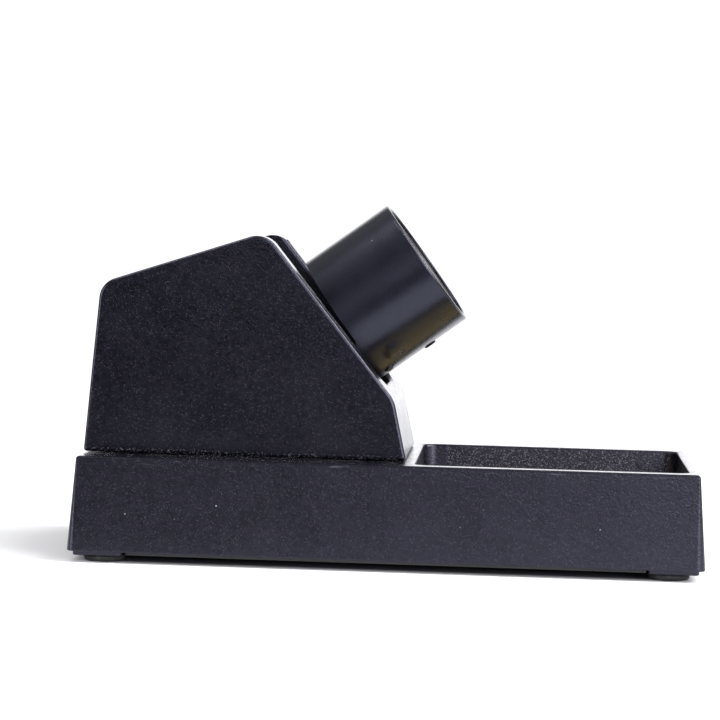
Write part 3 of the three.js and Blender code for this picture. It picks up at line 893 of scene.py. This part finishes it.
def slot_cutter():
    """What the tower's slot takes away: square to the slope, with a lip that flares outwards."""
    foot = Vector((TOWER_OUTLINE[2][0], 0, TOWER_OUTLINE[2][1]))
    crest = Vector((TOWER_OUTLINE[3][0], 0, TOWER_OUTLINE[3][1]))
    up = (crest - foot).normalized()
    out = Vector((up.z, 0, -up.x))
    start = PIVOT + ALONG * SLOPE_FACE
    start += ALONG * ((foot - start).dot(out) / ALONG.dot(out))
    flare, narrower = 1.2, 0.2
    corners = [
        (SLOT_BOTTOM, -SLOT_HALF, SLOT_FOOT_R),
        (SLOT_TOP, -SLOT_HALF, SLOT_CREST_R),
        (SLOT_TOP, SLOT_HALF, SLOT_CREST_R),
        (SLOT_BOTTOM, SLOT_HALF, SLOT_FOOT_R),
    ]
    levels = [(-SLOT_DEPTH, 0.0)] + [(-flare * (1 - s), -flare * c) for c, s in quarter(6)[:-1]]
    (z0, in0), (z1, in1) = levels[-2:]
    levels.append((z1 + 0.6, in1 + (in1 - in0) / (z1 - z0) * 0.6))
    levels.append((6.0, levels[-1][1]))
    rings = [
        [(x, y, z) for x, y in rounded_outline(inset(corners, inwards + narrower), 20)]
        for z, inwards in levels
    ]
    cutter = loft(rings)
    return moved(cutter, place(start, up, ACROSS, out))


def tower_housing():
    """A hollow wedge, open below and slotted for the holder, with screw bosses and two pivot bosses."""
    outside = lean(across(TOWER_OUTLINE, TOWER_HALF_FOOT, TOWER_EDGE, 12))
    inner = inset(TOWER_OUTLINE, WALL)
    inner = [(x, z - (2 * WALL if i < 2 else 0), max(r, 1.2)) for i, (x, z, r) in enumerate(inner)]
    inside = lean(across(inner, TOWER_HALF_FOOT - WALL, 0, 6))
    shell = without(outside, inside)
    shell = without(shell, slot_cutter())
    for x in TOWER_SCREW_X:
        for _, sy in SIDES:
            here = at(x, sy * TOWER_SCREW_Y)
            low, high = TOWER_FOOT, TOWER_FOOT + 12
            boss = turned([(0, low), (4.5, low), (4.5, high - 0.5), (4.1, high), (0, high)], 40, here)
            y0, y1 = sorted((sy * TOWER_SCREW_Y, sy * (TOWER_HALF_FOOT - 1.5)))
            web = block(x - 1.2, x + 1.2, y0, y1, low, high - 1)
            hole = cylinder(2, low - 1, high - 2, matrix=here)
            shell = without(joined(shell, boss, web), hole)
    for _, sy in SIDES:
        face, root = CARRIER_R + 0.7, TOWER_HALF_TOP - 1
        boss = turned([(0, face), (4.7, face), (5, face + 0.3), (5, root), (0, root)], 48, TO_Y)
        hole = cylinder(2, face - 2, face + 6, matrix=TO_Y)
        if sy < 0:
            boss, hole = (moved(mesh, Matrix.Rotation(math.pi, 4, "X")) for mesh in (boss, hole))
        shell = without(joined(shell, moved(boss, HOLDER)), moved(hole, HOLDER))
    return shell


piece("tower_housing", tower_housing(), "stand", CAST)

# ------------------------------------------------------------------ holder


def radial(x, turn):
    """Puts something made along +z, with z = 0 on the holder's axis, on a line down from it."""
    return at(x, 0) @ Matrix.Rotation(turn, 4, "X") @ Matrix.Rotation(math.pi, 4, "X")


def pin_holes():
    spots = ((RIVET_X, 0), (CARRIER_SCREW_X, -CARRIER_SCREW_TURN), (CARRIER_SCREW_X, CARRIER_SCREW_TURN))
    return [cylinder(1.6, 10, 24, 28, radial(x, turn)) for x, turn in spots]


BUMP_X = 19.2                                  # a round boss pressed outwards on each side of the tube
BUMP_TURN = math.radians(51)                   # below the middle
BUMP_R = 3.4
BUMP_HEIGHT = 0.5


def bump_height(x, turn):
    """How far the tube's skin stands out, at a place along it and an angle below its middle."""
    away = math.hypot(x - BUMP_X, TUBE_R * (turn - BUMP_TURN)) / BUMP_R
    if away >= 1.2:
        return 0.0
    return BUMP_HEIGHT * 0.5 * (1 + math.cos(math.pi * min(1.0, away / 1.2) ** 1.3))


def holder_tube():
    """The tube, cut away above at its rear to leave a tongue below, with a boss pressed in each side."""
    sides = 192
    per_mm = 4                                 # rings along each millimetre, to keep the bosses round
    first, last = int(TONGUE_REAR * per_mm) + 2, int(MOUTH * per_mm) - 3
    inner = TUBE_R - TUBE_WALL
    rim = 0.7
    profile = [(inner, TONGUE_REAR)]
    profile += [(inner, ring / per_mm) for ring in range(first, last)]
    profile += [(inner + 0.4 * c, MOUTH - 0.4 * (1 - s)) for c, s in quarter(4)]
    profile += [(TUBE_R - rim * (1 - s), MOUTH - rim * c) for c, s in quarter(6)]
    profile += [(TUBE_R, ring / per_mm) for ring in range(last, first - 1, -1)]
    profile += [(TUBE_R, TONGUE_REAR)]
    mesh = turned(profile, sides, TO_X)
    for vertex in mesh.vertices:
        x, y, z = vertex.co
        radius = math.hypot(y, z)
        turn = math.atan2(-z, abs(y))
        rise = bump_height(x, turn)
        if rise:
            factor = (radius + rise) / radius
            vertex.co = (x, y * factor, z * factor)
    beyond = 25
    outline = [
        (TONGUE_REAR - 3, TONGUE_TOP, 0.2),
        (TUBE_REAR, TONGUE_TOP, 1.4),
        (TUBE_REAR, beyond, 0.2),
        (TONGUE_REAR - 3, beyond, 0.2),
    ]
    over = across(outline, beyond, 0, 8)
    mesh = without(mesh, over, *pin_holes())
    return softened(mesh, 0.18, 60, 2, lambda p: p.x < TUBE_REAR + 0.5)


def holder_carrier():
    """A trough inside the tube, with an ear on each side of the tilt axis."""
    sides = 160
    trough = turned([
        (CARRIER_R - CARRIER_WALL, CARRIER_X0), (CARRIER_R - CARRIER_WALL, CARRIER_X1),
        (CARRIER_R, CARRIER_X1), (CARRIER_R, CARRIER_X0),
    ], sides, TO_X)
    upper = block(CARRIER_X0 - 1, CARRIER_X1 + 1, -20, 20, 6, 20)
    above_tube = block(7, CARRIER_X1 + 1, -20, 20, TONGUE_TOP, 21)
    between_ears = block(CARRIER_X0 - 1.1, -3, -9, 9, -21, 0.5)
    holes = []
    for _, sy in SIDES:
        hole = cylinder(2.3, 12, 20, 36, TO_Y)
        holes.append(moved(hole, Matrix.Rotation(math.pi, 4, "X")) if sy < 0 else hole)
    mesh = without(trough, upper, above_tube, between_ears, *holes, *pin_holes())
    return softened(mesh, 0.2, 60, 2)


def mouth_ring():
    """A lining ring inside the mouth, its bore widening outwards."""
    outer = TUBE_R - TUBE_WALL - 0.3
    x0, x1 = CARRIER_X1 + 0.6, MOUTH - 0.8
    turns = [math.pi / 2 * (1 - k / 6) for k in range(7)]
    profile = [(16, x0), (outer - 0.2, x0), (outer, x0 + 0.2), (outer, x1 - 0.3), (outer - 0.3, x1)]
    profile += [(15.2 + 1.4 * (1 - math.cos(t)), x1 - 2.0 * (1 - math.sin(t))) for t in turns]
    profile += [(15.2, x0 + 1.2), (15.35, x0 + 0.6), (15.6, x0 + 0.2)]
    return turned(profile, 128, TO_X)


def rivet():
    """A domed head inside, and a hollow rim folded over outside."""
    seat = CARRIER_R - CARRIER_WALL - 0.3
    turns = [math.pi / 2 * k / 8 for k in range(1, 9)]
    profile = [(0, seat - 1.2)]
    profile += [(2.4 * math.sin(t), seat - 0.15 - 1.05 * math.cos(t)) for t in turns]
    profile += [(2.4, seat), (1.3, seat)]
    rim = [(1.3, 0.02), (1.75, 0.02), (1.8, 0.12), (1.72, 0.3), (1.45, 0.45), (1.0, 0.5), (0.7, 0.42),
           (0.45, 0.25), (0, 0.2)]
    profile += [(radius, TUBE_R + rise) for radius, rise in rim]
    return turned(profile, 48)


def carrier_screw():
    seat = CARRIER_R - CARRIER_WALL - 0.3
    mesh = screw(pan_head(2.4, 1.5, 1.3), 1.3, 0, TUBE_R + 0.5 - seat, 0.3, 36, recess=(1.35, -0.5, -1.5))
    return moved(mesh, at(0, 0, seat))


def washer():
    x0, x1, inner, outer = 0.0, 0.6, 2.1, 3.5
    return turned([(inner, x0 + 0.1), (inner + 0.1, x0), (outer - 0.12, x0), (outer, x0 + 0.12),
                   (outer, x1 - 0.15), (outer - 0.15, x1), (inner + 0.1, x1), (inner, x1 - 0.1)], 64)


piece("holder_tube", holder_tube(), "holder", TUBE, matrix=HOLDER)
piece("holder_carrier", holder_carrier(), "holder", PLATE, matrix=HOLDER)
piece("mouth_ring", mouth_ring(), "holder", PHENOLIC, matrix=HOLDER, even=False)
piece("carrier_rivet", rivet(), "holder", OXIDE, even=False,
      matrix=HOLDER @ radial(RIVET_X, 0))

HEAD_FACE = CARRIER_R - CARRIER_WALL - 1.2
for side, sy in SIDES:
    piece(f"carrier_screw_{side}", carrier_screw(), "holder", OXIDE, even=False,
          matrix=HOLDER @ radial(CARRIER_SCREW_X, sy * CARRIER_SCREW_TURN))
    outward = HOLDER @ Matrix.Rotation(-sy * math.pi / 2, 4, "X")
    adjuster = screw(pan_head(3.6, 2.2, 1.7), 1.7, 0, 7, recess=(2.0, -0.9, -2.2), pitch=0.7)
    piece(f"adjusting_screw_{side}", adjuster, f"adjuster_{side}", ZINC, even=False,
          matrix=outward @ at(0, 0, HEAD_FACE))
    piece(f"adjusting_washer_{side}", washer(), f"adjuster_{side}", ZINC, even=False,
          matrix=outward @ at(0, 0, HEAD_FACE + 0.15))

# ------------------------------------------------------------------ sponge

SPONGE_HALF_X, SPONGE_HALF_Y, SPONGE_HEIGHT = 33.0, 30.0, 5.0
SPONGE_LOW = TRAY_FLOOR + RIB_HEIGHT + 0.3
SPONGE_CROWN, SPONGE_WAIST = 0.35, 0.35        # how far its top swells up and its sides draw in
SPONGE_GRID, SPONGE_QUICK_GRID = 0.42, 1.0
BUBBLES = (                                    # spacing, reach in spacings, depth
    (5.2, 0.30, 1.5),
    (2.6, 0.36, 1.0),
    (1.5, 0.42, 0.6),
)


def pore_depth(point):
    """How deep the sponge is open at a point: large, middling and small bubbles."""
    depth = 0.0
    for size, reach, most in BUBBLES:
        distances, _ = noise.voronoi(point / size + Vector((size, 7.3, 1.9)))
        pick = noise.cell(point / (size * 1.7) + Vector((0.4, size, 2.2)))
        inside = 1 - distances[0] / (reach * (0.8 + 0.4 * pick))
        if inside > 0:
            depth = max(depth, most * math.sqrt(min(1.0, inside)))
    return depth


def sponge():
    """A block on an even grid, slightly domed and drawn in at the sides, with open bubbles all over."""
    low, high = SPONGE_LOW, SPONGE_LOW + SPONGE_HEIGHT
    corners = rectangle(SPONGE_HALF_X - 0.4, SPONGE_HALF_Y - 0.4, 3, (TRAY_MID_X, 0))
    body = rounded_prism(corners, low, high - 0.3, 0.8, 1.2, 0, 8, 4)
    obj = bpy.data.objects.new("sponge_work", body)
    bpy.context.scene.collection.objects.link(obj)
    remesh = obj.modifiers.new("even_grid", "REMESH")
    remesh.mode = "VOXEL"
    remesh.voxel_size = SPONGE_GRID
    mesh = bpy.data.meshes.new_from_object(obj.evaluated_get(bpy.context.evaluated_depsgraph_get()))
    bpy.data.objects.remove(obj)
    normals = [n.vector.copy() for n in mesh.vertex_normals]
    for vertex, normal in zip(mesh.vertices, normals):
        p = vertex.co.copy()
        off_x, off_y = abs(p.x - TRAY_MID_X) / SPONGE_HALF_X, abs(p.y) / SPONGE_HALF_Y
        crown = SPONGE_CROWN * (1 - off_x ** 3) * (1 - off_y ** 3)
        waist = SPONGE_WAIST * math.sin(math.pi * (p.z - low) / SPONGE_HEIGHT)
        wander = noise.noise(p / 11) * 0.22
        side = Vector((normal.x, normal.y, 0))
        if p.z > low + 1:
            p.z += crown * (p.z - low) / SPONGE_HEIGHT + wander * 0.6
        p -= side * (waist + 0.3 + wander)
        flat = 0.35 if normal.z < -0.5 else 1.0
        p -= normal * pore_depth(vertex.co) * flat
        p.z = min(max(p.z, low), high)
        vertex.co = p
    return mesh


sponge_piece = piece("cleaning_sponge", sponge(), "sponge", SPONGE, smooth=180, even=False)
